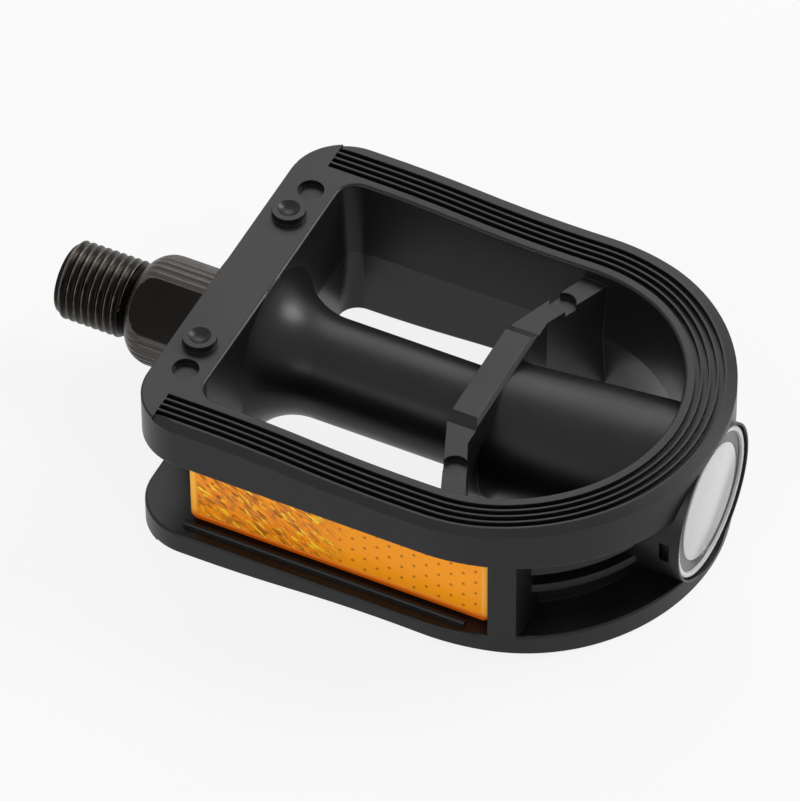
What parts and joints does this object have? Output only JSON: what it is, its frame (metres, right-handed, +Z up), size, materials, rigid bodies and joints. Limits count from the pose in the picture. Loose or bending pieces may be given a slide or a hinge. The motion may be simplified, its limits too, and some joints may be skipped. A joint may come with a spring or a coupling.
{
  "type": "bicycle pedal",
  "caption": "Moulded platform bicycle pedal with a round outer end, grooved treads, amber side reflectors and a threaded steel spindle running in loose ball bearings.",
  "frame": {"origin": "on the axle, at the shoulder where the spindle's collar meets the crank arm", "axes": "+X along the axle from the crank shoulder to the dust cap, +Y across the foot, +Z up through the upper tread"},
  "size_m": [0.1086, 0.066, 0.0282],
  "materials": {
    "body_plastic": "fine moulded satin, black",
    "spindle_steel": "black oxide, oiled",
    "bearing_steel": "hardened, ground",
    "ball_steel": "polished",
    "zinc_steel": "zinc plated",
    "cap_plastic": "smooth, pale grey",
    "reflector_back_plastic": "moulded, pale",
    "amber_lens": "clear amber with moulded prisms"
  },
  "bodies": {
    "axle": {"spindle": "spindle_steel", "cone_nut": "bearing_steel", "lock_washer": "zinc_steel", "lock_nut": "zinc_steel"},
    "platform": {"pedal_body": "body_plastic", "inner_bearing_cup": "bearing_steel", "outer_bearing_cup": "bearing_steel", "dust_cap": "cap_plastic", "front_reflector_back": "reflector_back_plastic", "front_reflector_lens": "amber_lens", "rear_reflector_back": "reflector_back_plastic", "rear_reflector_lens": "amber_lens"},
    "inner_ball_row": {"inner_balls": "ball_steel"},
    "outer_ball_row": {"outer_balls": "ball_steel"}
  },
  "joints": [
    {"name": "platform_spin", "type": "hinge", "parent": "axle", "child": "platform", "pos_m": [0, 0, 0], "axis": [1, 0, 0], "continuous": true},
    {"name": "inner_ball_orbit", "type": "hinge", "parent": "axle", "child": "inner_ball_row", "pos_m": [0.0188, 0, 0], "axis": [1, 0, 0], "continuous": true},
    {"name": "outer_ball_orbit", "type": "hinge", "parent": "axle", "child": "outer_ball_row", "pos_m": [0.0825, 0, 0], "axis": [1, 0, 0], "continuous": true}
  ],
  "couplings": [
    {"joint": "inner_ball_orbit", "follows": "platform_spin", "ratio": 0.5948},
    {"joint": "outer_ball_orbit", "follows": "platform_spin", "ratio": 0.5948}
  ]
}
